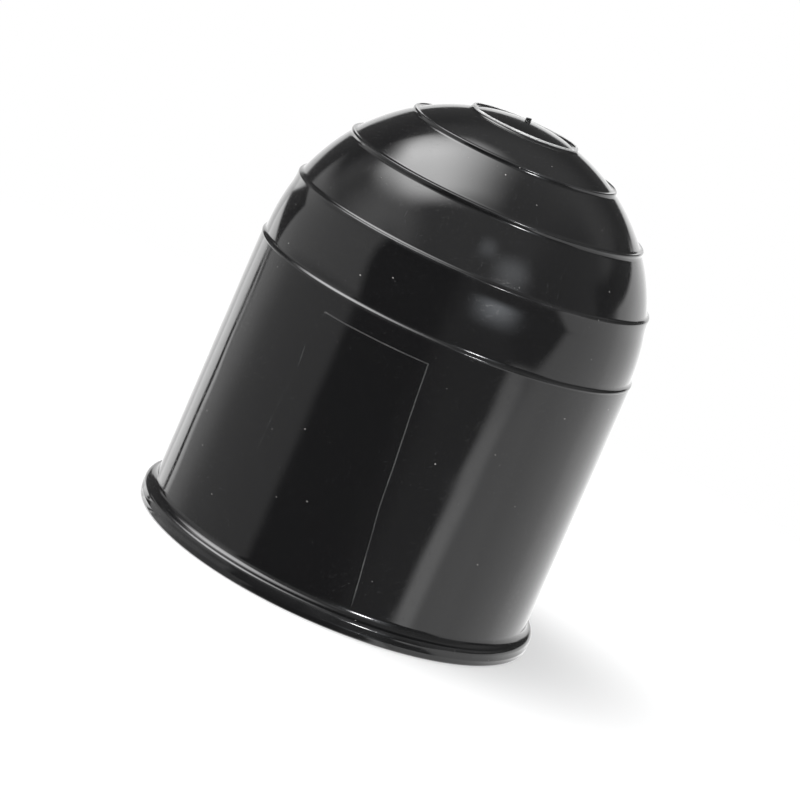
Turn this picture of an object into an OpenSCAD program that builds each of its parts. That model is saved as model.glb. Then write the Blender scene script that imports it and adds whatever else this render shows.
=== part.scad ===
// Cap for the ball of a tow bar, moulded in one piece: a ringed dome on a slightly tapered skirt,
// with a lip round the mouth and thin ribs inside that grip the ball.
// It stands mouth down: z = 0 is the foot of the lip, and +Z points to the crown.

/* [Ball] */
// Diameter of the ball that the cover slips over
ball_d = 50; // [40:0.5:60]
// How far the rib edges stand inside the ball's surface, to grip it
ball_grip = 0.25; // [0:0.05:0.6]
// Room between the ball and the inner wall, bridged by the ribs
ball_room = 3.75; // [2:0.05:6]

/* [Skirt] */
// Height of the shoulder, where the dome starts, above the foot
skirt_h = 45.5; // [35:0.1:60]
// Taper of the skirt, inside and out, in degrees
skirt_draft = 0.65; // [0:0.05:1.5]
// How far the skirt stands out from the dome at the shoulder
shoulder_step = 0.4; // [0.2:0.05:0.45]

/* [Dome] */
// Thickness of the dome's wall
wall = 1.8; // [1.2:0.1:3]
// Height of the dome's centre above the shoulder
dome_lift = 0.4; // [0:0.05:1]

/* [Rings] */
// How far each ring stands out from the dome
ring_h = 0.45; // [0.35:0.05:0.9]
// Radius of a ring's rounded crest
ring_crest_r = 0.25; // [0.1:0.05:0.3]
// Radius of the fillets at a ring's foot
ring_fillet_r = 0.6; // [0.2:0.05:0.8]
// Radius of the long flare below the lowest ring
low_ring_flare_r = 10; // [0.5:0.5:12]
// Elevation of the lowest ring, in degrees above the dome's centre
low_ring_deg = 19.2; // [14:0.1:26]
// Elevation of the middle ring
mid_ring_deg = 38.6; // [30:0.1:46]
// Elevation of the high ring
high_ring_deg = 57.3; // [50:0.1:66]
// Elevation of the ring round the crown
crown_ring_deg = 73.9; // [69:0.1:82]

/* [Rim] */
// How far the lip stands out from the foot of the skirt
rim_out = 1.55; // [0.8:0.05:3]
// Height of the lip, to the top of its rounded shoulder
rim_h = 2.6; // [1.5:0.1:5]
// Radius of the lip's upper shoulder
rim_shoulder_r = 0.7; // [0.3:0.05:0.8]
// Radius of the hollow fillet between the lip and the skirt
rim_fillet_r = 1.3; // [0.8:0.05:2.5]
// Radius of the lip's lower edge
rim_edge_r = 0.4; // [0.1:0.05:0.7]
// Chamfer round the mouth, inside
mouth_chamfer = 0.8; // [0.2:0.1:1.5]

/* [Ribs] */
// Number of ribs
rib_n = 8; // [4:1:12]
// Thickness of a rib
rib_t = 1.2; // [0.8:0.1:2]
// Height of the ribs' lower ends above the foot
rib_start = 6; // [2:0.5:15]
// How far the ribs' lower ends stand out from the wall
rib_toe = 0.6; // [0.3:0.1:1.5]
// Height of the slope that leads the ball in between the ribs
rib_lead_h = 5; // [2:0.5:12]

/* [Gate] */
// Diameter of the moulding gate's stub on the crown
gate_d = 0.9; // [0.5:0.1:2]
// Height of that stub
gate_h = 0.6; // [0.2:0.1:1.5]

/* [Hidden] */
$fn = 96;
// Facets of the small crest and fillet arcs
ARC_FN = 32;
// How far a cutting shape passes the face that it cuts
CUT = 1;
taper = tan(skirt_draft);
dome_z = skirt_h + dome_lift;

// The hollow: a ball's radius and its room, then the wall round it
grip_r = ball_d / 2 - ball_grip;
core_r = ball_d / 2 + ball_room;
core_foot_r = core_r + taper * dome_z;
rib_toe_r = core_foot_r - taper * rib_start - rib_toe;
dome_r = core_r + wall;
skirt_top_r = dome_r + shoulder_step;

// The lip's shoulder arc, and the hollow arc that touches both it and the skirt
rim_shoulder_z = rim_h - rim_shoulder_r;
rim_touch = rim_shoulder_r + rim_fillet_r;
rim_fillet_z = rim_shoulder_z + sqrt(pow(rim_touch, 2) - pow(rim_touch - rim_out, 2));
skirt_foot_r = skirt_top_r + taper * (skirt_h - rim_fillet_z);
rim_r = skirt_foot_r + rim_out;

// A ring's crest arc, by its distance from the dome's centre
ring_crest_at = dome_r + ring_h - ring_crest_r;
// The ring at the shoulder sits at the top of the skirt
shoulder_deg = -asin(dome_lift / ring_crest_at);

// Point at a distance and an elevation from the dome's centre
function polar(dist, deg) = dist * [cos(deg), sin(deg)];

// Angle between a ring's crest and the fillet that touches both it and the dome
function fillet_deg(fillet_r) =
    let (at = dome_r + fillet_r, touch = ring_crest_r + fillet_r)
    acos((pow(ring_crest_at, 2) + pow(at, 2) - pow(touch, 2)) / (2 * ring_crest_at * at));

// Section of half a ring: the web from the dome to the crest, cut by its fillet.
// side is 1 for the upper half and -1 for the lower half.
module ring_half_2d(fillet_r, side) {
    deg = side * fillet_deg(fillet_r);
    at = dome_r + fillet_r;
    difference() {
        polygon([[dome_r - wall / 2, 0], [ring_crest_at, 0], polar(at, deg), polar(dome_r - wall / 2, deg)]);
        translate(polar(at, deg)) circle(fillet_r, $fn = fillet_r > 1 ? 4 * $fn : ARC_FN);
    }
}

// Section of one ring at an elevation on the dome
module ring_2d(deg, lower_fillet_r = ring_fillet_r) {
    translate([0, dome_z]) rotate(deg) {
        translate([ring_crest_at, 0]) circle(ring_crest_r, $fn = ARC_FN);
        ring_half_2d(ring_fillet_r, 1);
        ring_half_2d(lower_fillet_r, -1);
    }
}

// Section of the skirt: a straight foot under the taper
module skirt_2d() {
    polygon([
        [0, 0],
        [skirt_foot_r, 0],
        [skirt_foot_r, rim_fillet_z],
        [skirt_top_r, skirt_h],
        [0, skirt_h]
    ]);
}

// Section of the lip: rounded below and above, and run into the skirt by a hollow fillet
module rim_2d() {
    shoulder = [rim_r - rim_shoulder_r, rim_shoulder_z];
    hollow = [skirt_foot_r + rim_fillet_r, rim_fillet_z];
    square([rim_r - rim_edge_r, rim_shoulder_z]);
    translate([0, rim_edge_r]) square([rim_r, rim_shoulder_z - rim_edge_r]);
    translate([rim_r - rim_edge_r, rim_edge_r]) circle(rim_edge_r, $fn = ARC_FN);
    translate(shoulder) circle(rim_shoulder_r, $fn = ARC_FN);
    difference() {
        polygon([[skirt_foot_r - wall / 2, shoulder.y], shoulder, hollow, [skirt_foot_r - wall / 2, hollow.y]]);
        translate(hollow) circle(rim_fillet_r, $fn = ARC_FN);
    }
}

// Section of the dome, without its rings
module dome_2d() {
    translate([0, dome_z]) intersection() {
        circle(dome_r);
        translate([0, -dome_lift]) square([dome_r, dome_r + dome_lift]);
    }
}

// Outside of the cover, as a solid
module outside() {
    rotate_extrude() {
        skirt_2d();
        rim_2d();
        dome_2d();
        ring_2d(shoulder_deg);
        ring_2d(low_ring_deg, low_ring_flare_r);
        for (deg = [mid_ring_deg, high_ring_deg, crown_ring_deg]) ring_2d(deg);
    }
    translate([0, 0, dome_z + dome_r - wall / 2]) cylinder(d = gate_d, h = wall / 2 + gate_h, $fn = ARC_FN);
}

// The hollow inside the wall, open at the mouth
module hollow() {
    rotate_extrude() {
        polygon([
            [0, -CUT],
            [core_foot_r + mouth_chamfer + CUT, -CUT],
            [core_foot_r, mouth_chamfer],
            [core_r, dome_z],
            [0, dome_z]
        ]);
        translate([0, dome_z]) intersection() {
            circle(core_r);
            square(core_r);
        }
    }
}

// Upright plates on radii, all meeting under the crown
module rib_plates() {
    for (i = [0:rib_n - 1])
        rotate(i * 360 / rib_n)
            translate([0, -rib_t / 2, rib_start])
                cube([core_foot_r + CUT, rib_t, dome_z + core_r + CUT - rib_start]);
}

// The room that the ball takes on its way in, with the slope that leads it between the ribs
module ball_way() {
    rotate_extrude() {
        polygon([
            [0, -CUT],
            [rib_toe_r, -CUT],
            [rib_toe_r, rib_start],
            [grip_r, rib_start + rib_lead_h],
            [grip_r, dome_z],
            [0, dome_z]
        ]);
        translate([0, dome_z]) intersection() {
            circle(grip_r);
            square(grip_r);
        }
    }
}

module cover() {
    color([0.03, 0.03, 0.03]) difference() {
        outside();
        difference() {
            hollow();
            rib_plates();
        }
        ball_way();
    }
}

cover();
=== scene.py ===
"""Looks of a moulded cap for the ball of a tow bar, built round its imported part.

The cap is one moulding of gloss black plastic: a ringed dome on a slightly tapered skirt, a lip
round the mouth and eight thin ribs inside. Its outside is one section turned about the upright
axis, with the fine line that the mould's insert left on the skirt.
"""

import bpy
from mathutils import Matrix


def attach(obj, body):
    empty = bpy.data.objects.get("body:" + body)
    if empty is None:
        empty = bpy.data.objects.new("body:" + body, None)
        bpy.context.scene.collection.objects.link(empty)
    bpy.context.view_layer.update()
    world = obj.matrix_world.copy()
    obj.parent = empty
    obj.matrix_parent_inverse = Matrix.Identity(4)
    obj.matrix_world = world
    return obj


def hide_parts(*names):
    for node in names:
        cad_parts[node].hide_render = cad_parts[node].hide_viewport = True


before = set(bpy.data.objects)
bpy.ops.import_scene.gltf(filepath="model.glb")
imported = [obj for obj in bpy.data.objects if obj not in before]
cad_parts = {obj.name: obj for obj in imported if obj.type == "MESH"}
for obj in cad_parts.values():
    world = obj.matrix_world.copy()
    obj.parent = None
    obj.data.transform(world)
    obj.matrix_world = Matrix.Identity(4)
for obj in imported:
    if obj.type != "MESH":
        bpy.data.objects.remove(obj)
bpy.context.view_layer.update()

import logging
import math
from dataclasses import dataclass, field
from enum import Enum

import bmesh
import bpy
import numpy as np
from mathutils import Matrix, Vector

# Metres in a millimetre: sizes below are in millimetres, and meshes in metres
MM = 0.001
WHITE = (1.0, 1.0, 1.0, 1.0)

Point = tuple[float, float]
Colour = tuple[float, float, float]

log = logging.getLogger("cover")


class Zone(Enum):
    """Part of the moulding's skin, by its place in the mesh's list of materials."""

    OUTSIDE = 0
    HOLLOW = 1


def polar(centre: Point, distance: float, degrees: float) -> Point:
    """Point at a distance and an elevation from a centre.

    Args:
        centre: Point that the distance is measured from.
        distance: Distance in millimetres.
        degrees: Elevation above the horizontal.

    Returns:
        The point.
    """
    angle = math.radians(degrees)
    return centre[0] + distance * math.cos(angle), centre[1] + distance * math.sin(angle)


def toward(start: Point, end: Point, distance: float) -> Point:
    """Point at a distance from one point, on the line to another.

    Args:
        start: Point that the distance is measured from.
        end: Point that the line runs to.
        distance: Distance in millimetres.

    Returns:
        The point.
    """
    share = distance / math.dist(start, end)
    return start[0] + share * (end[0] - start[0]), start[1] + share * (end[1] - start[1])


def angle_opposite(side: float, near: float, other: float) -> float:
    """Angle of a triangle, from its three sides.

    Args:
        side: Side that lies opposite the angle.
        near: One side of the angle.
        other: The other side of the angle.

    Returns:
        The angle in degrees.
    """
    return math.degrees(math.acos((near**2 + other**2 - side**2) / (2 * near * other)))


@dataclass
class Section:
    """Half section of a turned surface, drawn point by point as (radius, height) in millimetres.

    A stretch with a guard has an extra point that far from each end, which keeps the shading of
    a long stretch free of the small curves beside it.
    """

    points: list[Point] = field(default_factory=list)
    worn: list[float] = field(default_factory=list)

    def start(self, point: Point) -> None:
        """Puts down the first point."""
        self.points.append(point)
        self.worn.append(0.0)

    def shares(self, steps: int, length: float, guard: float) -> list[float]:
        """Places of the points along a stretch.

        Args:
            steps: Number of even steps.
            length: Length of the stretch in millimetres.
            guard: Distance of the extra points from its ends, or 0 for none.

        Returns:
            Shares of the stretch, from above 0 to 1.
        """
        shares = {step / steps for step in range(1, steps + 1)}
        if guard:
            shares |= {guard / length, 1 - guard / length}
        return sorted(shares)

    def line_to(self, end: Point, steps: int = 1, worn: float = 0.0, guard: float = 0.0) -> None:
        """Draws a straight stretch.

        Args:
            end: Point that it runs to.
            steps: Number of even steps.
            worn: How rubbed its surface is, from 0 to 1.
            guard: Distance of the extra points from its ends.
        """
        start = self.points[-1]
        for share in self.shares(steps, math.dist(start, end), guard):
            radius = start[0] + share * (end[0] - start[0])
            self.points.append((radius, start[1] + share * (end[1] - start[1])))
            self.worn.append(worn)

    def arc_to(
        self, centre: Point, end: Point, steps: int, worn: float = 0.0, guard: float = 0.0
    ) -> None:
        """Draws an arc the short way round a centre.

        Args:
            centre: Centre of the arc.
            end: Point that it runs to.
            steps: Number of even steps.
            worn: How rubbed its surface is, from 0 to 1.
            guard: Distance of the extra points from its ends.
        """
        radius = math.dist(centre, end)
        first = math.atan2(self.points[-1][1] - centre[1], self.points[-1][0] - centre[0])
        last = math.atan2(end[1] - centre[1], end[0] - centre[0])
        turn = (last - first + math.pi) % math.tau - math.pi
        for share in self.shares(steps, radius * abs(turn), guard):
            self.points.append(polar(centre, radius, math.degrees(first + share * turn)))
            self.worn.append(worn)


@dataclass(frozen=True)
class InsertLine:
    """Fine raised line that the edge of the mould's insert left on the front of the skirt.

    Azimuths are in degrees from the front, growing to the right. The line's height varies from
    point to point by the uneven range, and its left edge comes and goes by the broken range.
    """

    top: float = 42.2
    left_route: tuple[Point, ...] = ((42.2, -31.2), (37, -33), (33, -32.2), (26, -33.4), (4, -34.5))
    right_route: tuple[Point, ...] = ((42.2, 1.4), (35, 2.4), (26, 3.9), (20, 4.7), (14, 6.2), (4, 8.6))
    crown_width: float = 0.12
    flank_width: float = 0.06
    top_height: float = 0.03
    left_height: float = 0.015
    right_height: float = 0.03
    # How strongly the ridge is painted pale: a painted highlight along the line
    painted_highlight: float = 0.14
    clear_width: float = 0.3
    uneven: tuple[float, float] = (0.35, 1.3)
    broken: tuple[float, float] = (-0.8, 1.3)
    gone_below: float = 12.0
    full_above: float = 32.0
    corner_overlap: float = 0.1
    seed: int = 5

    def offsets(self) -> list[float]:
        """Distances from the line at which it needs a point across it."""
        crown = self.crown_width / 2
        outward = [crown, crown + self.flank_width, self.clear_width]
        return [*(-offset for offset in reversed(outward)), 0.0, *outward]

    def azimuth(self, route: tuple[Point, ...], height: np.ndarray) -> np.ndarray:
        """Azimuth of an upright edge at some heights.

        Args:
            route: Heights and azimuths along the edge, from the top down.
            height: Heights in millimetres.

        Returns:
            Azimuths in degrees.
        """
        climbing = sorted(route)
        return np.interp(height, [at for at, _ in climbing], [azimuth for _, azimuth in climbing])

    def profile(self, distance: np.ndarray) -> np.ndarray:
        """Height of the ridge across the line, from 0 to 1.

        Args:
            distance: Distances from the line in millimetres.

        Returns:
            Shares of the ridge's full height.
        """
        beyond = np.abs(distance) - self.crown_width / 2
        return np.clip(1 - beyond / self.flank_width, 0, 1)

    def lift(self, azimuth: np.ndarray, height: np.ndarray, radius: np.ndarray) -> np.ndarray:
        """How far the line stands out from the skirt.

        Args:
            azimuth: Azimuths of the points in degrees.
            height: Heights of the points in millimetres.
            radius: Radii of the points in millimetres.

        Returns:
            Lifts in millimetres.
        """
        random = np.random.default_rng(self.seed)
        uneven = random.uniform(*self.uneven, azimuth.shape)
        broken = np.clip(random.uniform(*self.broken, (azimuth.shape[0], 1)), 0, 1)
        left = self.azimuth(self.left_route, height)
        right = self.azimuth(self.right_route, height)
        arc = np.radians(1.0) * radius
        below = (height < self.top + self.flank_width) & (height > self.right_route[-1][0])
        across = (azimuth > left - self.corner_overlap) & (azimuth < right + self.corner_overlap)
        fade = np.clip((height - self.gone_below) / (self.full_above - self.gone_below), 0, 1)
        on_left = below * self.profile((azimuth - left) * arc) * broken * fade * self.left_height
        on_right = below * self.profile((azimuth - right) * arc) * uneven * self.right_height
        on_top = across * self.profile(height - self.top) * uneven * self.top_height
        return np.maximum(np.maximum(on_left, on_right), on_top)

    def painted_highlight_share(self, lift: np.ndarray) -> np.ndarray:
        """How strongly the line's ridge is painted pale, as a painted highlight.

        Args:
            lift: How far it stands out from the skirt, in millimetres.

        Returns:
            Shares from 0 to 1.
        """
        return np.clip(lift / self.right_height, 0, 1) * self.painted_highlight


@dataclass
class CoverShell:
    """The whole moulding, as one closed mesh. Sizes are in millimetres."""

    # Dome and skirt
    core_r: float = 28.75
    wall: float = 1.8
    skirt_h: float = 45.5
    dome_lift: float = 0.4
    shoulder_step: float = 0.4
    draft: float = 0.65
    # Rings: where they sit above the dome's centre, and their rounded crests and fillets
    ring_degrees: tuple[float, ...] = (73.9, 57.3, 38.6, 19.2)
    ring_h: float = 0.45
    crest_r: float = 0.25
    fillet_r: float = 0.6
    flare_r: float = 10.0
    # Lip
    rim_out: float = 1.55
    rim_h: float = 2.6
    rim_shoulder_r: float = 0.7
    rim_fillet_r: float = 1.3
    rim_edge_r: float = 0.4
    mouth_chamfer: float = 0.8
    # Flash where the mould parts, on the lip: its half widths at the foot and on top
    parting_z: float = 1.0
    parting_h: float = 0.03
    parting_foot: float = 0.08
    parting_top: float = 0.02
    # Ribs inside
    rib_n: int = 8
    rib_t: float = 1.2
    grip_r: float = 24.75
    rib_start: float = 6.0
    rib_toe: float = 0.6
    rib_lead_h: float = 5.0
    # Heights of the hollow's rows between the slopes and the dome
    foot_row: float = 3.0
    wall_rows: tuple[float, ...] = (19.0, 28.0, 37.0)
    # Stub of the moulding gate on the crown
    gate_r: float = 0.45
    gate_h: float = 0.55
    gate_edge_r: float = 0.12
    gate_slant: float = 0.12
    gate_slant_from: float = 0.1
    # How rubbed the crests, the shoulder, the lip and its flash are, from 0 to 1
    crest_worn: float = 1.0
    shoulder_worn: float = 0.7
    lip_worn: float = 0.6
    flash_worn: float = 0.3
    # How strongly the crest of the crown's ring is painted pale, as a painted highlight
    crown_painted_highlight: float = 1.0
    # Mesh: columns round the axis, rows on each stretch, and how far guard rows lie from joints
    columns: int = 288
    band_rows: int = 9
    fillet_rows: int = 5
    crest_rows: int = 8
    gate_rows: int = 3
    lip_fillet_rows: int = 12
    lip_shoulder_rows: int = 10
    lip_edge_rows: int = 6
    skirt_rows: int = 30
    hollow_rows: int = 22
    guard: float = 0.06
    # Share of the dome over which the crowded columns spread out again
    spread_share: float = 0.8
    # Gentle waves of the moulded skin: turns round the axis and length along it, for each wave
    wave_h: float = 0.006
    waves_round_and_up: tuple[Point, ...] = ((3, 60.0), (5, 38.0), (8, 27.0), (13, 19.0), (17, 14.0))
    calm_crown: float = 8.0
    calm_foot: float = 6.0
    wave_seed: int = 11
    line: InsertLine = InsertLine()

    @property
    def taper(self) -> float:
        """Growth of the skirt's radius for each millimetre down."""
        return math.tan(math.radians(self.draft))

    @property
    def dome_centre(self) -> Point:
        """Centre of the dome's arcs."""
        return 0.0, self.skirt_h + self.dome_lift

    @property
    def dome_r(self) -> float:
        """Outer radius of the dome between its rings."""
        return self.core_r + self.wall

    @property
    def crest_at(self) -> float:
        """Distance of a ring's crest arc from the dome's centre."""
        return self.dome_r + self.ring_h - self.crest_r

    @property
    def skirt_top_r(self) -> float:
        """Radius of the skirt where the dome starts."""
        return self.dome_r + self.shoulder_step

    @property
    def fillet_z(self) -> float:
        """Height of the centre of the hollow fillet between the lip and the skirt."""
        touch = self.rim_shoulder_r + self.rim_fillet_r
        return self.rim_h - self.rim_shoulder_r + math.sqrt(touch**2 - (touch - self.rim_out) ** 2)

    @property
    def skirt_foot_r(self) -> float:
        """Radius of the skirt where the lip's fillet starts."""
        return self.skirt_top_r + self.taper * (self.skirt_h - self.fillet_z)

    @property
    def rim_r(self) -> float:
        """Radius of the lip."""
        return self.skirt_foot_r + self.rim_out

    @property
    def core_foot_r(self) -> float:
        """Radius of the hollow at the foot."""
        return self.core_r + self.taper * self.dome_centre[1]

    @property
    def crown_ring_foot(self) -> float:
        """Height just below the ring round the crown."""
        return polar(self.dome_centre, self.crest_at, self.ring_degrees[0] - 5)[1]

    def draw_gate(self, section: Section) -> None:
        """Draws the gate's stub, from its middle to the dome.

        Args:
            section: Section that the points go to.
        """
        top = self.dome_centre[1] + self.dome_r + self.gate_h
        edge = (self.gate_r - self.gate_edge_r, top - self.gate_edge_r)
        section.start((0.0, top))
        section.line_to((edge[0], top))
        section.arc_to(edge, (self.gate_r, edge[1]), self.gate_rows)
        foot_r = self.gate_r + self.gate_edge_r
        foot_z = self.dome_centre[1] + math.sqrt((self.dome_r + self.gate_edge_r) ** 2 - foot_r**2)
        section.line_to((self.gate_r, foot_z), 2)
        foot = (foot_r, foot_z)
        section.arc_to(foot, toward(foot, self.dome_centre, self.gate_edge_r), self.gate_rows)

    def draw_ring(self, section: Section, degrees: float, lower_r: float) -> None:
        """Draws the dome down to a ring, and the ring.

        Args:
            section: Section that the points go to.
            degrees: Elevation of the ring above the dome's centre.
            lower_r: Radius of the fillet below the ring.
        """
        centre = self.dome_centre
        above_at = self.dome_r + self.fillet_r
        below_at = self.dome_r + lower_r
        up = angle_opposite(self.crest_r + self.fillet_r, self.crest_at, above_at)
        down = angle_opposite(self.crest_r + lower_r, self.crest_at, below_at)
        crest = polar(centre, self.crest_at, degrees)
        above = polar(centre, above_at, degrees + up)
        below = polar(centre, below_at, degrees - down)
        section.arc_to(centre, polar(centre, self.dome_r, degrees + up), self.band_rows, guard=self.guard)
        section.arc_to(above, toward(crest, above, self.crest_r), self.fillet_rows)
        below_crest = toward(crest, below, self.crest_r)
        section.arc_to(crest, below_crest, self.crest_rows, worn=self.crest_worn)
        foot = polar(centre, self.dome_r, degrees - down)
        section.arc_to(below, foot, self.fillet_rows if lower_r == self.fillet_r else self.band_rows)

    def draw_shoulder(self, section: Section) -> None:
        """Draws the dome down to the ring at the top of the skirt, and that ring.

        Args:
            section: Section that the points go to.
        """
        centre = self.dome_centre
        degrees = -math.degrees(math.asin(self.dome_lift / self.crest_at))
        above_at = self.dome_r + self.fillet_r
        up = angle_opposite(self.crest_r + self.fillet_r, self.crest_at, above_at)
        crest = polar(centre, self.crest_at, degrees)
        above = polar(centre, above_at, degrees + up)
        section.arc_to(centre, polar(centre, self.dome_r, degrees + up), self.band_rows, guard=self.guard)
        section.arc_to(above, toward(crest, above, self.crest_r), self.fillet_rows)
        # The crest's arc ends where the skirt's slanted line leaves it
        reach = self.crest_r * math.hypot(1, self.taper)
        turn = math.acos((self.skirt_top_r - crest[0]) / reach) - math.atan(self.taper)
        end = polar(crest, self.crest_r, -math.degrees(turn))
        section.arc_to(crest, end, self.crest_rows, worn=self.shoulder_worn)

    def skirt_heights(self) -> list[float]:
        """Heights of the skirt's rows, from the top down, with the insert's line among them."""
        top = self.skirt_h - 2 * self.guard
        even = np.linspace(top, self.fillet_z + self.guard, self.skirt_rows)
        near = [self.line.top + offset for offset in self.line.offsets()]
        clear = [z for z in even if all(abs(z - at) > self.guard for at in near)]
        return sorted([*clear, *near], reverse=True)

    def draw_skirt_and_lip(self, section: Section) -> None:
        """Draws the skirt, the hollow fillet, the lip and its foot.

        Args:
            section: Section that the points go to.
        """
        for height in self.skirt_heights():
            radius = self.skirt_top_r + self.taper * (self.skirt_h - height)
            section.line_to((radius, height))
        shoulder = (self.rim_r - self.rim_shoulder_r, self.rim_h - self.rim_shoulder_r)
        hollow = (self.skirt_foot_r + self.rim_fillet_r, self.fillet_z)
        section.line_to((self.skirt_foot_r, self.fillet_z))
        section.arc_to(hollow, toward(shoulder, hollow, self.rim_shoulder_r), self.lip_fillet_rows)
        section.arc_to(shoulder, (self.rim_r, shoulder[1]), self.lip_shoulder_rows, worn=self.lip_worn)
        flash_r = self.rim_r + self.parting_h
        section.line_to((self.rim_r, self.parting_z + self.parting_foot), worn=self.flash_worn)
        section.line_to((flash_r, self.parting_z + self.parting_top), worn=self.lip_worn)
        section.line_to((flash_r, self.parting_z - self.parting_top), worn=self.lip_worn)
        section.line_to((self.rim_r, self.parting_z - self.parting_foot), worn=self.flash_worn)
        edge = (self.rim_r - self.rim_edge_r, self.rim_edge_r)
        section.line_to((self.rim_r, edge[1]))
        section.arc_to(edge, (edge[0], 0.0), self.lip_edge_rows, worn=self.crest_worn)

    def outer_section(self) -> Section:
        """Section of the outside, from the middle of the crown to the foot.

        Returns:
            The section.
        """
        section = Section()
        self.draw_gate(section)
        for degrees in self.ring_degrees:
            is_lowest = degrees == self.ring_degrees[-1]
            self.draw_ring(section, degrees, self.flare_r if is_lowest else self.fillet_r)
        self.draw_shoulder(section)
        self.draw_skirt_and_lip(section)
        return section

    def even_azimuths(self) -> np.ndarray:
        """Azimuths of evenly spread columns, in degrees from the front, starting at the back."""
        return np.arange(self.columns) * 360 / self.columns - 180

    def outer_azimuths(self, height: np.ndarray) -> np.ndarray:
        """Azimuths of the outer columns, which crowd along the insert's two upright edges.

        Args:
            height: Heights of the rows, as a column of numbers.

        Returns:
            Azimuths in degrees from the front, one row for each height.
        """
        even = self.even_azimuths()
        step = 360 / self.columns
        offsets = np.degrees(np.array(self.line.offsets()) / self.skirt_foot_r)
        rows = []
        for z in height.ravel():
            anchors, places = [0], [-180.0]
            for route in (self.line.left_route, self.line.right_route):
                middle = round((route[len(route) // 2][1] + 180) / step)
                anchors += [middle + k - len(offsets) // 2 for k in range(len(offsets))]
                places += list(float(self.line.azimuth(route, np.array(z))) + offsets)
            crowded = np.interp(np.arange(self.columns), [*anchors, self.columns], [*places, 180.0])
            rows.append(even + (crowded - even) * self.crowding(z))
        return np.array(rows)

    def crowding(self, height: float) -> float:
        """How far the columns crowd along the insert's edges at a height, from 0 to 1.

        Args:
            height: Height in millimetres.

        Returns:
            1 on the skirt, falling to 0 at the crown and at the foot.
        """
        below = height / self.fillet_z
        room = self.dome_r * self.spread_share
        above = (self.dome_centre[1] + room - height) / room
        return min(max(min(below, above), 0.0), 1.0)

    def waves(self, azimuth: np.ndarray, height: np.ndarray) -> np.ndarray:
        """Gentle unevenness of the skin.

        Args:
            azimuth: Azimuths of the points in degrees.
            height: Heights of the points in millimetres.

        Returns:
            Lifts in millimetres.
        """
        random = np.random.default_rng(self.wave_seed)
        lift = np.zeros_like(azimuth)
        for turns, length in self.waves_round_and_up:
            phase, start = random.uniform(0, math.tau, 2)
            upward = np.sin(height / length * math.tau + start)
            lift += np.sin(np.radians(azimuth) * turns + phase) * upward
        near_crown = np.clip((self.dome_centre[1] + self.dome_r - height) / self.calm_crown, 0, 1)
        near_foot = np.clip(height / self.calm_foot, 0, 1)
        return self.wave_h * lift * near_crown * near_foot

    def outer_grid(self) -> tuple[np.ndarray, np.ndarray, np.ndarray]:
        """Points of the outside.

        Returns:
            Points in millimetres by row and column, the wear of each row, and how strongly each
            point is painted pale, as a painted highlight.
        """
        section = self.outer_section()
        radius = np.array([point[0] for point in section.points])[:, None]
        height = np.array([point[1] for point in section.points])[:, None]
        azimuth = self.outer_azimuths(height)
        height, radius = np.broadcast_arrays(height, radius)[0], np.broadcast_to(radius, azimuth.shape)
        height = np.broadcast_to(height, azimuth.shape)
        lift = self.line.lift(azimuth, height, radius)
        worn = np.array(section.worn)
        # Painted highlight: pale paint on the crown ring's crest and on the insert line's ridge
        on_crown = (worn == self.crest_worn) & (height[:, 0] > self.crown_ring_foot)
        painted_highlight = np.maximum(self.line.painted_highlight_share(lift), on_crown[:, None] * self.crown_painted_highlight)
        radius = radius + lift + self.waves(azimuth, height)
        angle = np.radians(azimuth)
        x, y = radius * np.sin(angle), -radius * np.cos(angle)
        stub = height > self.dome_centre[1] + self.dome_r + self.gate_slant_from
        height = height + stub * x * self.gate_slant
        x[0], y[0] = 0.0, 0.0
        return np.stack([x, y, height], axis=-1), worn, painted_highlight

    def inner_column(self, index: int) -> tuple[int, int]:
        """Place of a column among the ribs.

        Args:
            index: Number of the column.

        Returns:
            The number of the nearest rib, and the column's signed distance from its middle.
        """
        per_rib = self.columns // self.rib_n
        rib = (index + per_rib // 2) // per_rib
        return rib, index - rib * per_rib

    def inner_point(self, index: int, wall: Point, rib: Point, apart: bool, even: float) -> list[float]:
        """Point of the hollow's surface in one column and row.

        Args:
            index: Number of the column.
            wall: Radius and height of the wall in this row.
            rib: Radius and height of the rib's inner edge in this row.
            apart: Whether the rib stands off the wall in this row.
            even: Share of the even spacing of the columns that is kept, from 0 to 1.

        Returns:
            The point in millimetres.
        """
        number, place = self.inner_column(index)
        pitch = 360 / self.rib_n
        side = math.copysign(1, place)
        on_rib = abs(place) <= 1
        radius, height = rib if on_rib and apart else wall
        corner = math.degrees(math.asin(min(self.rib_t / 2 / max(radius, 1e-6), 1)))
        corner = min(corner, pitch / 2)
        if place == 0:
            away = 0.0
        elif abs(place) <= 2:
            away = side * corner
        else:
            share = (abs(place) - 2) / (self.columns / self.rib_n / 2 - 2)
            away = side * (corner + share * (pitch / 2 - corner))
        spaced = number * pitch + away
        plain = index * 360 / self.columns
        angle = math.radians(spaced + even * (plain - spaced) - 180)
        return [radius * math.sin(angle), -radius * math.cos(angle), height]

    def wall_at(self, height: float) -> Point:
        """Point of the hollow's tapered wall at a height."""
        return self.core_foot_r - self.taper * height, height

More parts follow.
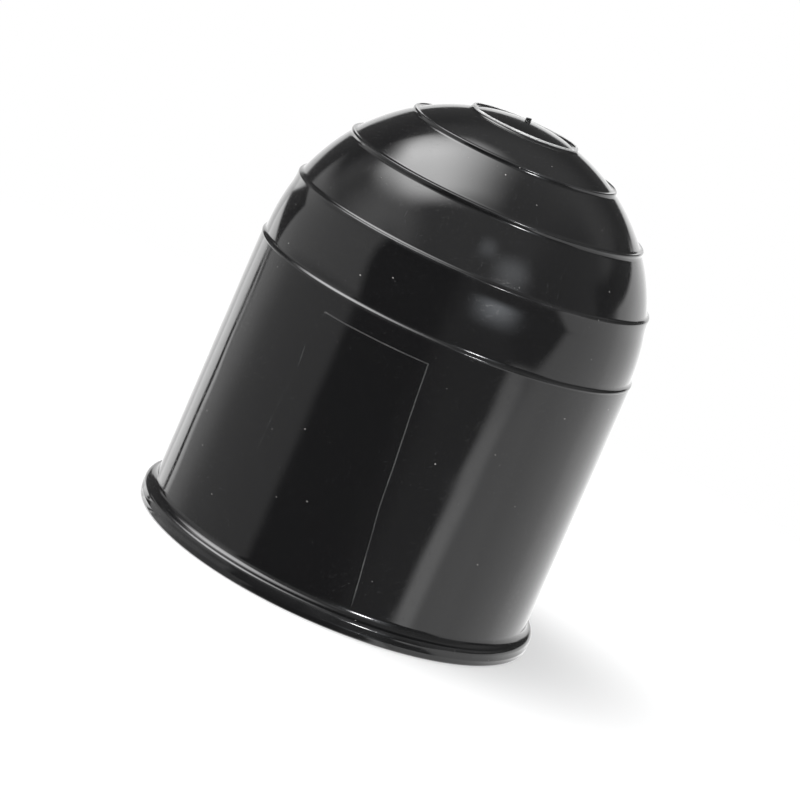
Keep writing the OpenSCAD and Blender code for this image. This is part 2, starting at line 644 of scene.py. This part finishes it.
    def inner_rows(self) -> list[tuple[Point, Point, bool, float]]:
        """Rows of the hollow, from the foot up.

        Returns:
            For each row the wall, the rib's edge, whether they part, and the share of the even
            spacing of the columns that is kept.
        """
        foot_r, centre = self.core_foot_r, self.dome_centre
        mouth = (foot_r + self.mouth_chamfer, 0.0)
        chamfer = (foot_r, self.mouth_chamfer)
        low = self.wall_at(self.foot_row)
        start = self.wall_at(self.rib_start)
        toe = (start[0] - self.rib_toe, self.rib_start)
        rows = [(mouth, mouth, False, 1.0), (chamfer, chamfer, False, 0.7)]
        rows += [(low, low, False, 0.35), (start, start, False, 0.0), (start, toe, True, 0.0)]
        for height in (self.rib_start + self.rib_lead_h, *self.wall_rows, centre[1]):
            rows.append((self.wall_at(height), (self.grip_r, height), True, 0.0))
        hub_r = self.rib_t / 2 / math.sin(math.pi / self.rib_n)
        last_wall = math.degrees(math.acos(hub_r / self.core_r))
        last_rib = math.degrees(math.acos(hub_r / self.grip_r))
        for step in range(1, self.hollow_rows + 1):
            share = step / self.hollow_rows
            wall = polar(centre, self.core_r, share * last_wall)
            rib = polar(centre, self.grip_r, share * last_rib)
            rows.append((wall, rib, True, 0.0))
        hub = polar(centre, self.grip_r, last_rib)
        pole = (0.0, centre[1] + self.grip_r)
        return [*rows, (hub, hub, True, 0.0), (pole, pole, True, 0.0)]

    def inner_grid(self) -> np.ndarray:
        """Points of the hollow, from the inner edge of the foot to the middle under the crown.

        Returns:
            Points in millimetres by row and column.
        """
        return np.array(
            [
                [self.inner_point(index, wall, rib, apart, even) for index in range(self.columns)]
                for wall, rib, apart, even in self.inner_rows()
            ]
        )

    def build(self) -> bpy.types.Object:
        """Builds the moulding's mesh.

        Returns:
            The new object.
        """
        outer, worn, painted_highlight = self.outer_grid()
        inner = self.inner_grid()
        grid = np.concatenate([outer, inner])
        rows, columns = grid.shape[:2]
        row, column = np.mgrid[0 : rows - 1, 0:columns]
        after = (column + 1) % columns
        corners = [row * columns + column, (row + 1) * columns + column]
        corners += [(row + 1) * columns + after, row * columns + after]
        faces = np.stack(corners, axis=-1).reshape(-1, 4)
        zones = np.where(row.ravel() < len(outer), Zone.OUTSIDE.value, Zone.HOLLOW.value)
        mesh = bpy.data.meshes.new("cover_shell")
        mesh.from_pydata((grid.reshape(-1, 3) * MM).tolist(), [], faces.tolist())
        mesh.polygons.foreach_set("material_index", zones.astype(np.int32))
        wear = mesh.attributes.new("worn", "FLOAT", "POINT")
        by_row = np.concatenate([worn, np.zeros(len(inner))])
        wear.data.foreach_set("value", np.repeat(by_row, columns).astype(np.float32))
        # Painted highlight: how pale each point is painted, read by the material
        pale = mesh.attributes.new("painted_highlight", "FLOAT", "POINT")
        by_point = np.concatenate([painted_highlight.ravel(), np.zeros(inner[..., 0].size)])
        pale.data.foreach_set("value", by_point.astype(np.float32))
        close_mesh(mesh)
        shell = bpy.data.objects.new("cover_shell", mesh)
        bpy.context.scene.collection.objects.link(shell)
        return shell

    def dress(self, shell: bpy.types.Object, outside: "MouldedBlack", hollow: "MouldedBlack") -> None:
        """Gives the moulding its finishes and its place in the frame.

        Args:
            shell: Object made by build.
            outside: Finish of the outside.
            hollow: Finish of the hollow.
        """
        for finish in (outside, hollow):
            shell.data.materials.append(finish.build())
        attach(shell, "root")
        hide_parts("cover")


def close_mesh(mesh: bpy.types.Mesh, sharp_degrees: float = 40.0, merge: float = 0.0005) -> None:
    """Joins points that coincide, drops faces of no area, and sets the shading.

    Args:
        mesh: Mesh to change.
        sharp_degrees: Angle from which an edge is shaded sharp.
        merge: Distance in millimetres within which points are joined.
    """
    work = bmesh.new()
    work.from_mesh(mesh)
    bmesh.ops.remove_doubles(work, verts=work.verts, dist=merge * MM)
    bmesh.ops.dissolve_degenerate(work, edges=work.edges, dist=merge * MM)
    bmesh.ops.recalc_face_normals(work, faces=work.faces)
    work.to_mesh(mesh)
    work.free()
    mesh.shade_smooth()
    mesh.set_sharp_from_angle(angle=math.radians(sharp_degrees))


class Graph:
    """Shader nodes of one material, world or group, added and joined by name."""

    def __init__(self, tree: bpy.types.NodeTree) -> None:
        """Keeps the tree that the nodes go to."""
        self.tree = tree

    def add(self, kind: str, settings: dict | None = None, **inputs: object) -> bpy.types.Node:
        """Adds a node.

        Args:
            kind: Blender's name of the node's type.
            settings: Properties of the node.
            **inputs: Values or source sockets by input name, with _ for a space.

        Returns:
            The node.
        """
        node = self.tree.nodes.new(kind)
        for name, value in (settings or {}).items():
            setattr(node, name, value)
        for name, value in inputs.items():
            self.feed(node, name.replace("_", " "), value)
        return node

    def feed(self, node: bpy.types.Node, name: str | int, value: object) -> None:
        """Sets an input, or joins a socket to it.

        Args:
            node: Node that has the input.
            name: Name or number of the input.
            value: Value or source socket.
        """
        if isinstance(value, bpy.types.NodeSocket):
            self.tree.links.new(value, node.inputs[name])
        else:
            node.inputs[name].default_value = value

    def math(self, operation: str, *values: object, clamp: bool = False) -> bpy.types.NodeSocket:
        """Adds a Math node.

        Args:
            operation: Blender's name of the operation.
            *values: Values or source sockets.
            clamp: Whether the result is kept from 0 to 1.

        Returns:
            The result.
        """
        node = self.add("ShaderNodeMath", {"operation": operation, "use_clamp": clamp})
        for place, value in enumerate(values):
            self.feed(node, place, value)
        return node.outputs[0]

    def vector(self, operation: str, *values: object) -> bpy.types.NodeSocket:
        """Adds a Vector Math node.

        Args:
            operation: Blender's name of the operation.
            *values: Vectors or source sockets.

        Returns:
            The resulting vector.
        """
        node = self.add("ShaderNodeVectorMath", {"operation": operation})
        for place, value in enumerate(values):
            self.feed(node, place, value)
        return node.outputs[0]

    def scaled(self, vector: object, factor: object) -> bpy.types.NodeSocket:
        """Adds a node that scales a vector.

        Args:
            vector: Source socket.
            factor: Number or source socket.

        Returns:
            The scaled vector.
        """
        node = self.add("ShaderNodeVectorMath", {"operation": "SCALE"}, Scale=factor)
        self.feed(node, 0, vector)
        return node.outputs[0]

    def ramp(
        self, value: object, low: object, high: object, start: float, end: float
    ) -> bpy.types.NodeSocket:
        """Adds a smooth step.

        Args:
            value: Source socket.
            low: Where the step starts.
            high: Where the step ends.
            start: Result up to low.
            end: Result from high.

        Returns:
            The stepped value.
        """
        node = self.add("ShaderNodeMapRange", {"interpolation_type": "SMOOTHSTEP"}, Value=value)
        self.feed(node, "From Min", low)
        self.feed(node, "From Max", high)
        self.feed(node, "To Min", start)
        self.feed(node, "To Max", end)
        return node.outputs["Result"]

    def blend(self, share: object, first: object, second: object) -> bpy.types.NodeSocket:
        """Adds a colour mix.

        Args:
            share: Share of the second colour.
            first: First colour.
            second: Second colour.

        Returns:
            The mixed colour.
        """
        node = self.add("ShaderNodeMix", {"data_type": "RGBA"})
        self.feed(node, 0, share)
        self.feed(node, 6, first)
        self.feed(node, 7, second)
        return node.outputs[2]


class Socket(Enum):
    """Kinds of sockets on the groups."""

    NUMBER = "NodeSocketFloat"
    VECTOR = "NodeSocketVector"
    COLOUR = "NodeSocketColor"


def new_group(
    name: str, inputs: dict[str, Socket], outputs: dict[str, Socket]
) -> tuple[bpy.types.NodeTree, Graph, bpy.types.Node, bpy.types.Node]:
    """Starts a group of shader nodes.

    Args:
        name: Name of the group.
        inputs: Kinds of its inputs by name.
        outputs: Kinds of its outputs by name.

    Returns:
        The group, its graph, and its input and output nodes.
    """
    tree = bpy.data.node_groups.new(name, "ShaderNodeTree")
    for label, kind in inputs.items():
        tree.interface.new_socket(label, in_out="INPUT", socket_type=kind.value)
    for label, kind in outputs.items():
        tree.interface.new_socket(label, in_out="OUTPUT", socket_type=kind.value)
    graph = Graph(tree)
    return tree, graph, graph.add("NodeGroupInput"), graph.add("NodeGroupOutput")


class Effects:
    """Effects of the black finishes, each a group of shader nodes that is built once.

    Their vectors and lengths are in millimetres.
    """

    # Turns of the three sets of hairline scratches, in radians about each axis
    scratch_leans = ((0.5, 0.1, 0.3), (1.3, 0.7, 2.1), (0.2, -1.0, 4.0))

    def __init__(self) -> None:
        """Builds the groups."""
        self.specks = self.build_specks()
        self.hairlines = self.build_hairlines()
        self.smears = self.build_smears()
        self.ripple = self.build_ripple()

    def build_specks(self) -> bpy.types.NodeTree:
        """Builds grains of dust: round, of mixed sizes, in a share of the cells.

        Returns:
            The group, which puts out a mask.
        """
        inputs = {"Place": Socket.VECTOR, "Cell": Socket.NUMBER, "Radius": Socket.NUMBER}
        inputs["Share"] = Socket.NUMBER
        tree, graph, given, result = new_group("dust_specks", inputs, {"Mask": Socket.NUMBER})
        cells = graph.math("DIVIDE", 1.0, given.outputs["Cell"])
        shaken = graph.add("ShaderNodeTexNoise", Vector=given.outputs["Place"], Scale=2.3)
        moved = graph.vector("ADD", given.outputs["Place"], graph.scaled(shaken.outputs["Color"], 0.25))
        points = graph.add("ShaderNodeTexVoronoi", Vector=moved, Scale=cells)
        away = graph.math("MULTIPLY", points.outputs["Distance"], given.outputs["Cell"])
        chance = graph.add("ShaderNodeSeparateColor", Color=points.outputs["Color"])
        kept = graph.math("LESS_THAN", chance.outputs[0], given.outputs["Share"])
        size = graph.ramp(chance.outputs[1], 0.0, 1.0, 0.35, 1.0)
        radius = graph.math("MULTIPLY", size, given.outputs["Radius"])
        inner = graph.math("MULTIPLY", radius, 0.5)
        grain = graph.ramp(away, inner, radius, 1.0, 0.0)
        graph.feed(result, "Mask", graph.math("MULTIPLY", grain, kept))
        return tree

    def build_hairlines(self) -> bpy.types.NodeTree:
        """Builds short hairline scratches that lean three ways.

        Returns:
            The group, which puts out a mask.
        """
        inputs = {"Place": Socket.VECTOR, "Length": Socket.NUMBER, "Width": Socket.NUMBER}
        inputs["Share"] = Socket.NUMBER
        tree, graph, given, result = new_group("hairlines", inputs, {"Mask": Socket.NUMBER})
        long = graph.math("DIVIDE", 1.0, given.outputs["Length"])
        across = graph.math("DIVIDE", 1.0, given.outputs["Width"])
        bent = graph.add("ShaderNodeTexNoise", Vector=given.outputs["Place"], Scale=0.35)
        place = graph.vector("ADD", given.outputs["Place"], graph.scaled(bent.outputs["Color"], 1.6))
        stretch = graph.add("ShaderNodeCombineXYZ", X=across, Y=across, Z=long)
        total = None
        for lean in self.scratch_leans:
            turned = graph.add("ShaderNodeVectorRotate", {"rotation_type": "EULER_XYZ"}, Vector=place)
            turned.inputs["Rotation"].default_value = lean
            drawn = graph.vector("MULTIPLY", turned.outputs[0], stretch.outputs[0])
            points = graph.add("ShaderNodeTexVoronoi", Vector=drawn, Scale=1.0)
            chance = graph.add("ShaderNodeSeparateColor", Color=points.outputs["Color"])
            kept = graph.math("LESS_THAN", chance.outputs[0], given.outputs["Share"])
            scratch = graph.ramp(points.outputs["Distance"], 0.08, 0.3, 1.0, 0.0)
            one = graph.math("MULTIPLY", scratch, kept)
            total = one if total is None else graph.math("MAXIMUM", total, one)
        graph.feed(result, "Mask", total)
        return tree

    def build_smears(self) -> bpy.types.NodeTree:
        """Builds soft patches, as handling leaves them.

        Returns:
            The group, which puts out a mask.
        """
        inputs = {"Place": Socket.VECTOR, "Size": Socket.NUMBER}
        tree, graph, given, result = new_group("smears", inputs, {"Mask": Socket.NUMBER})
        scale = graph.math("DIVIDE", 1.0, given.outputs["Size"])
        soft = graph.add("ShaderNodeTexNoise", Vector=given.outputs["Place"], Scale=scale, Detail=3.0)
        soft.inputs["Distortion"].default_value = 0.6
        graph.feed(result, "Mask", graph.ramp(soft.outputs["Fac"], 0.35, 0.7, 0.0, 1.0))
        return tree

    def build_ripple(self) -> bpy.types.NodeTree:
        """Builds the slight unevenness of a moulded skin.

        Returns:
            The group, which puts out a height in millimetres.
        """
        inputs = {"Place": Socket.VECTOR, "Size": Socket.NUMBER, "Depth": Socket.NUMBER}
        tree, graph, given, result = new_group("ripple", inputs, {"Height": Socket.NUMBER})
        scale = graph.math("DIVIDE", 1.0, given.outputs["Size"])
        wave = graph.add("ShaderNodeTexNoise", Vector=given.outputs["Place"], Scale=scale, Detail=1.0)
        graph.feed(result, "Height", graph.math("MULTIPLY", wave.outputs["Fac"], given.outputs["Depth"]))
        return tree

    def use(self, graph: Graph, tree: bpy.types.NodeTree, **inputs: object) -> bpy.types.NodeSocket:
        """Places a group in a material.

        Args:
            graph: Graph of the material.
            tree: The group.
            **inputs: Values or source sockets by input name.

        Returns:
            The group's output.
        """
        node = graph.add("ShaderNodeGroup", {"node_tree": tree}, **inputs)
        return node.outputs[0]


@dataclass(frozen=True)
class MouldedBlack:
    """Black plastic as it leaves the mould, with the dust and rubs that it has picked up, and pale paint
    as a painted highlight on some crests and ridges.
    """

    name: str
    effects: Effects
    base: Colour = (0.0045, 0.0045, 0.0048)
    dust: Colour = (0.30, 0.29, 0.28)
    rubbed: Colour = (0.03, 0.03, 0.031)
    # Pale colour painted on as a highlight, where the mesh marks it
    painted_highlight: Colour = (0.5, 0.5, 0.5)
    # Roughness of the clean skin and of smears, and what each mark adds to it
    gloss: float = 0.06
    smeared: float = 0.12
    scratch_dull: float = 0.2
    painted_highlight_dull: float = 0.35
    dust_dull: float = 0.5
    # How strongly worn edges, scratches and fine dust show
    rub_shown: float = 0.5
    scratch_shown: float = 0.35
    fine_shown: float = 0.6
    # Grains, scratches and smears: sizes, and the share of their cells that hold one
    speck_cell: float = 1.5
    speck_share: float = 0.2
    speck_radius: float = 0.13
    fine_cell: float = 0.6
    fine_share: float = 0.3
    fine_radius: float = 0.05
    scratch_length: float = 4.0
    scratch_width: float = 0.16
    scratch_share: float = 0.16
    smear_size: float = 9.0
    # Relief of the skin
    ripple_size: float = 7.0
    ripple_depth: float = 0.012
    peel_size: float = 0.5
    peel_depth: float = 0.0004
    dust_height: float = 0.04
    scratch_height: float = -0.002

    def build(self) -> bpy.types.Material:
        """Builds the material.

        Returns:
            The material.
        """
        material = bpy.data.materials.new(self.name)
        material.use_nodes = True
        material.node_tree.nodes.clear()
        graph = Graph(material.node_tree)
        effects = self.effects
        place = graph.scaled(graph.add("ShaderNodeTexCoord").outputs["Object"], 1 / MM)
        grains = {"Cell": self.speck_cell, "Radius": self.speck_radius, "Share": self.speck_share}
        specks = effects.use(graph, effects.specks, Place=place, **grains)
        grains = {"Cell": self.fine_cell, "Radius": self.fine_radius, "Share": self.fine_share}
        fine = effects.use(graph, effects.specks, Place=place, **grains)
        lines = {"Length": self.scratch_length, "Width": self.scratch_width, "Share": self.scratch_share}
        scratches = effects.use(graph, effects.hairlines, Place=place, **lines)
        smears = effects.use(graph, effects.smears, Place=place, Size=self.smear_size)
        relief = {"Size": self.ripple_size, "Depth": self.ripple_depth}
        ripple = effects.use(graph, effects.ripple, Place=place, **relief)
        relief = {"Size": self.peel_size, "Depth": self.peel_depth}
        peel = effects.use(graph, effects.ripple, Place=place, **relief)
        worn = graph.add("ShaderNodeAttribute", {"attribute_name": "worn"}).outputs["Fac"]
        rub = graph.math("MULTIPLY", worn, smears)
        uneven = graph.ramp(smears, 0.0, 1.0, 0.6, 1.0)
        # Painted highlight: pale paint where the mesh marks it, uneven with the smears
        painted_highlight = graph.add("ShaderNodeAttribute", {"attribute_name": "painted_highlight"}).outputs["Fac"]
        painted_highlight = graph.math("MULTIPLY", painted_highlight, uneven)
        marks = graph.math("MAXIMUM", specks, graph.math("MULTIPLY", fine, self.fine_shown))
        rub = graph.math("MULTIPLY", rub, self.rub_shown)
        skin = graph.blend(rub, (*self.base, 1.0), (*self.rubbed, 1.0))
        scratched = graph.math("MULTIPLY", scratches, self.scratch_shown)
        lined = graph.blend(scratched, skin, (*self.rubbed, 1.0))
        pale = graph.blend(painted_highlight, lined, (*self.painted_highlight, 1.0))
        colour = graph.blend(marks, pale, (*self.dust, 1.0))
        dull = graph.math("MULTIPLY_ADD", smears, self.smeared - self.gloss, self.gloss)
        dull = graph.math("MULTIPLY_ADD", scratches, self.scratch_dull, dull)
        dull = graph.math("MULTIPLY_ADD", painted_highlight, self.painted_highlight_dull, dull)
        dull = graph.math("MULTIPLY_ADD", marks, self.dust_dull, dull, clamp=True)
        height = graph.math("ADD", ripple, peel)
        height = graph.math("MULTIPLY_ADD", marks, self.dust_height, height)
        height = graph.math("MULTIPLY_ADD", scratches, self.scratch_height, height)
        bump = graph.add("ShaderNodeBump", Height=height, Strength=1.0, Distance=MM)
        shader = graph.add("ShaderNodeBsdfPrincipled", Base_Color=colour, Roughness=dull, IOR=1.5)
        graph.feed(shader, "Normal", bump.outputs[0])
        graph.add("ShaderNodeOutputMaterial", Surface=shader.outputs[0])
        return material


@dataclass(frozen=True)
class Card:
    """Soft-edged card or opening of the studio, by the directions that it fills from the cover.

    Angles are in degrees. The first range is the azimuth from the front, growing to the right,
    and the second is the elevation. For an overhead card they are how far it reaches forward and
    to the right from straight up. A card that leans shifts its first range by that share of the
    second, one with a spread grows wider by it, and a level of 1 is white.
    """

    name: str
    across: tuple[float, float]
    along: tuple[float, float]
    level: float
    soft: tuple[float, float] = (4.0, 4.0)
    tint: Colour = (1.0, 1.0, 1.0)
    overhead: bool = False
    lean: float = 0.0
    spread: float = 0.0

    def shape(self) -> tuple[float, ...]:
        """Values of the group's shape inputs: middle and half width of each range, and the rest."""
        low, high = self.across
        bottom, top = self.along
        middles = ((low + high) / 2, (high - low) / 2, (bottom + top) / 2, (top - bottom) / 2)
        return (*middles, *self.soft, self.lean, self.spread)


@dataclass(frozen=True)
class Studio:
    """Plain studio round the cover: pale walls, soft cards and a dark gap behind the camera.

    Each card lies over the ones before it.
    """

    room: float = 0.42
    cards: tuple[Card, ...] = (
        Card("soft box", (-30, 60), (-110, -11), 9.3, (17, 20), overhead=True),
        Card("front of the room", (18, 130), (-200, 200), 0.5, (9, 10), overhead=True),
        Card("corner of the soft box", (12, 60), (-120, -38), 1.2, (14, 12), overhead=True),
        Card("left of the soft box", (-44, 24), (-120, -48), 0.9, (5, 12), overhead=True),
        Card("back corner of the soft box", (-60, -18), (-120, -43), 0.5, (10, 7), overhead=True),
        Card("behind the soft box", (-110, -27.5), (-60, 30), 0.42, (5, 5), overhead=True, lean=0.5),
        Card("back wall", (-100, -42), (-80, 66), 0.1, (18, 6), overhead=True),
        Card("edge of the soft box", (-46, -35), (-80, -24), 0.34, (2, 9), overhead=True),
        Card("right of the ceiling", (-20, 60), (34, 76), 0.32, (8, 10), overhead=True),
        Card("dark wedge", (-168, -118), (-5, 40), 0.12, (10, 8)),
        Card("slope over the left card", (-118, -54), (-5, 34), 0.45, (14, 5)),
        Card("bright end of the slope", (-88, -54), (12, 40), 1.3, (16, 8)),
        Card("right flag", (98, 142), (14, 28), 0.14, (4, 3)),
        Card("white sweep", (62, 200), (-95, 11.5), 1.2, (2.5, 1.5)),
        Card("bulge of the sweep", (116, 151), (-95, 14.8), 1.35, (5, 1.5)),
        Card("sweep behind", (-130, -76.5), (-48, 20), 1.25, (1.5, 2), overhead=True),
        Card("right back of the sweep", (130, 178), (-95, 9), 1.45, (20, 3)),
        Card("left end of the sweep", (-130, -71), (-86, -48), 1.9, (1.5, 2), overhead=True, lean=-0.46),
        Card("left card", (-123, -45), (-95, 15), 0.85, (2.5, 5), lean=-0.2),
        Card("foot of the left card", (-108, -30), (-95, -8), 0.55, (12, 3)),
        Card("left flag", (-135, -124), (-11, 5), 0.1, (1.5, 3), spread=0.6),
        Card("thin flag", (-137, -133), (-60, -10.5), 0.12, (0.8, 0.8)),
        Card("dark room", (-43.5, 66), (-95, 25), 0.09, (4, 6), lean=-0.22),
        Card("right of the dark room", (2, 62), (-12, 28), 0.26, (8, 5)),
        Card("curve beside the sweep", (40, 70), (-9, 16), 0.2, (4, 3), spread=0.6),
        Card("beside the strip", (14, 47), (-95, -9), 0.26, (9, 3)),
        Card("foot of the sweep", (48, 76), (-95, -9.5), 1.3, (4, 2)),
        Card("right strip", (40, 51), (-28, -11), 2.3, (3.5, 3), lean=0.8),
        Card("lower strip", (37, 47), (-95, -24), 2.0, (4, 4)),
        Card("high window", (5, 18), (43, 52), 1.4, (5, 4.5), (0.96, 0.99, 1.03)),
        Card("middle window", (22, 43), (32, 44), 1.8, (9, 6), (0.96, 0.99, 1.03)),
        Card("low window", (17, 38), (10, 26), 2.7, (10, 7), (0.94, 0.99, 1.05)),
        Card("lamp in the window", (21, 31), (20, 27), 90.0, (3, 2)),
    )
    shape_inputs: tuple[str, ...] = (
        "Turn", "Width", "Rise", "Height", "Soft Side", "Soft End", "Lean", "Spread"
    )

    def inside(self, graph: Graph, away: object, half: object, soft: object) -> bpy.types.NodeSocket:
        """Adds the share of a card that shows along one of its ranges.

        Args:
            graph: Graph of the card's group.
            away: Distance from the middle of the range.
            half: Half width of the range.
            soft: How far the card fades to either side of its edge.

        Returns:
            The share, from 0 to 1.
        """
        start = graph.math("SUBTRACT", half, soft)
        end = graph.math("ADD", half, soft)
        return graph.ramp(away, start, end, 1.0, 0.0)

    def card_group(self) -> bpy.types.NodeTree:
        """Builds the group that lays one card over what is behind it.

        Returns:
            The group, which puts out a colour.
        """
        inputs = {"Behind": Socket.COLOUR, "Across": Socket.NUMBER, "Along": Socket.NUMBER}
        inputs |= {name: Socket.NUMBER for name in self.shape_inputs}
        inputs["Light"] = Socket.COLOUR
        tree, graph, given, result = new_group("studio_card", inputs, {"Colour": Socket.COLOUR})
        raised = graph.math("SUBTRACT", given.outputs["Along"], given.outputs["Rise"])
        turned = graph.math("SUBTRACT", given.outputs["Across"], given.outputs["Turn"])
        turned = graph.math("SUBTRACT", turned, graph.math("MULTIPLY", raised, given.outputs["Lean"]))
        turned = graph.math("ABSOLUTE", graph.math("WRAP", turned, 180.0, -180.0))
        turned = graph.math("SUBTRACT", turned, graph.math("MULTIPLY", raised, given.outputs["Spread"]))
        across = self.inside(graph, turned, given.outputs["Width"], given.outputs["Soft Side"])
        raised = graph.math("ABSOLUTE", raised)
        along = self.inside(graph, raised, given.outputs["Height"], given.outputs["Soft End"])
        share = graph.math("MULTIPLY", across, along)
        graph.feed(result, "Colour", graph.blend(share, given.outputs["Behind"], given.outputs["Light"]))
        return tree

    def build_world(self) -> bpy.types.World:
        """Builds the studio as the scene's world: white behind the cover, and the cards' light on it.

        Returns:
            The world.
        """
        world = bpy.data.worlds.new("studio")
        world.use_nodes = True
        world.node_tree.nodes.clear()
        graph = Graph(world.node_tree)
        group = self.card_group()
        direction = graph.add("ShaderNodeTexCoord").outputs["Generated"]
        way = graph.add("ShaderNodeSeparateXYZ", Vector=direction)
        front = graph.math("MULTIPLY", way.outputs["Y"], -1.0)
        turn = graph.math("ARCTAN2", way.outputs["X"], front)
        azimuth = graph.math("DEGREES", turn)
        elevation = graph.math("DEGREES", graph.math("ARCSINE", way.outputs["Z"]))
        from_top = graph.math("SUBTRACT", 90.0, elevation)
        forward = graph.math("MULTIPLY", from_top, graph.math("COSINE", turn))
        sideways = graph.math("MULTIPLY", from_top, graph.math("SINE", turn))
        light: object = (self.room, self.room, self.room, 1.0)
        for card in self.cards:
            node = graph.add("ShaderNodeGroup", {"node_tree": group, "label": card.name})
            graph.feed(node, "Behind", light)
            graph.feed(node, "Across", forward if card.overhead else azimuth)
            graph.feed(node, "Along", sideways if card.overhead else elevation)
            for name, value in zip(self.shape_inputs, card.shape()):
                graph.feed(node, name, value)
            graph.feed(node, "Light", (*(card.level * part for part in card.tint), 1.0))
            light = node.outputs[0]
        seen = graph.add("ShaderNodeLightPath").outputs["Is Camera Ray"]
        shown = graph.blend(seen, light, WHITE)
        background = graph.add("ShaderNodeBackground", Color=shown, Strength=1.0)
        graph.add("ShaderNodeOutputWorld", Surface=background.outputs[0])
        bpy.context.scene.world = world
        return world


@dataclass(frozen=True)
class Floor:
    """Pale floor that keeps the cover's shadow and runs out into the white behind. In metres.

    The lift is the share of white that it shows even in the shadow.
    """

    radius: float = 3.0
    drop: float = 0.00005
    colour: Colour = (0.86, 0.86, 0.86)
    lift: float = 0.4
    shadow_end: float = 0.06
    white_from: float = 0.18

    def build(self) -> bpy.types.Object:
        """Builds the floor.

        Returns:
            The new object.
        """
        work = bmesh.new()
        bmesh.ops.create_circle(work, cap_ends=True, segments=96, radius=self.radius)
        bmesh.ops.translate(work, verts=work.verts, vec=(0, 0, -self.drop))
        mesh = bpy.data.meshes.new("floor")
        work.to_mesh(mesh)
        work.free()
        mesh.materials.append(self.material())
        floor = bpy.data.objects.new("floor", mesh)
        bpy.context.scene.collection.objects.link(floor)
        floor.visible_glossy = False
        return floor

    def material(self) -> bpy.types.Material:
        """Builds the floor's material, which is clear from below.

        Returns:
            The material.
        """
        material = bpy.data.materials.new("pale_floor")
        material.use_nodes = True
        material.node_tree.nodes.clear()
        graph = Graph(material.node_tree)
        place = graph.add("ShaderNodeTexCoord").outputs["Object"]
        away = graph.add("ShaderNodeVectorMath", {"operation": "LENGTH"})
        graph.feed(away, 0, place)
        far = graph.ramp(away.outputs["Value"], self.shadow_end, self.white_from, self.lift, 1.0)
        seen = graph.add("ShaderNodeLightPath").outputs["Is Camera Ray"]
        matt = graph.add("ShaderNodeBsdfDiffuse", Color=(*self.colour, 1.0))
        white = graph.add("ShaderNodeEmission", Color=WHITE, Strength=1.0)
        top = graph.add("ShaderNodeMixShader", Fac=graph.math("MULTIPLY", far, seen))
        graph.feed(top, 1, matt.outputs[0])
        graph.feed(top, 2, white.outputs[0])
        below = graph.add("ShaderNodeNewGeometry").outputs["Backfacing"]
        both = graph.add("ShaderNodeMixShader", Fac=below)
        graph.feed(both, 1, top.outputs[0])
        graph.feed(both, 2, graph.add("ShaderNodeBsdfTransparent").outputs[0])
        graph.add("ShaderNodeOutputMaterial", Surface=both.outputs[0])
        return material


@dataclass(frozen=True)
class RolledCamera:
    """Camera at the photograph's angle. The place is in millimetres and the angles in degrees."""

    place: tuple[float, float, float] = (-0.9, -442.46, 129.43)
    pitch: float = 12.84
    roll: float = 23.54
    lens: float = 131.0
    sensor: float = 36.0

    def axes(self) -> tuple[Vector, Vector, Vector]:
        """Directions to the right, upward and back toward the viewer.

        Returns:
            The three unit vectors.
        """
        pitch, roll = math.radians(self.pitch), math.radians(self.roll)
        level = Vector((1, 0, 0))
        up = Vector((0, math.sin(pitch), math.cos(pitch)))
        back = Vector((0, -math.cos(pitch), math.sin(pitch)))
        right = math.cos(roll) * level + math.sin(roll) * up
        return right, math.cos(roll) * up - math.sin(roll) * level, back

    def build(self) -> bpy.types.Object:
        """Builds the camera and makes it the scene's own.

        Returns:
            The camera.
        """
        data = bpy.data.cameras.new("camera")
        data.lens = self.lens
        data.sensor_width = self.sensor
        camera = bpy.data.objects.new("camera", data)
        bpy.context.scene.collection.objects.link(camera)
        turn = Matrix(self.axes()).transposed().to_4x4()
        camera.matrix_world = Matrix.Translation(Vector(self.place) * MM) @ turn
        bpy.context.scene.camera = camera
        return camera


def main() -> None:
    """Builds the stage and the cover, and reports each piece."""
    logging.basicConfig(level=logging.INFO, format="%(message)s")
    bpy.context.scene.view_settings.view_transform = "Standard"
    RolledCamera().build()
    Studio().build_world()
    Floor().build()
    effects = Effects()
    outside = MouldedBlack("gloss_black_outside", effects)
    hollow = MouldedBlack(
        "black_inside", effects, gloss=0.24, smeared=0.34, scratch_share=0.3, ripple_depth=0.02
    )
    cover = CoverShell()
    shell = cover.build()
    cover.dress(shell, outside, hollow)
    log.info("%s: %d points, %d faces", shell.name, len(shell.data.vertices), len(shell.data.polygons))


if __name__ == "__main__":
    main()
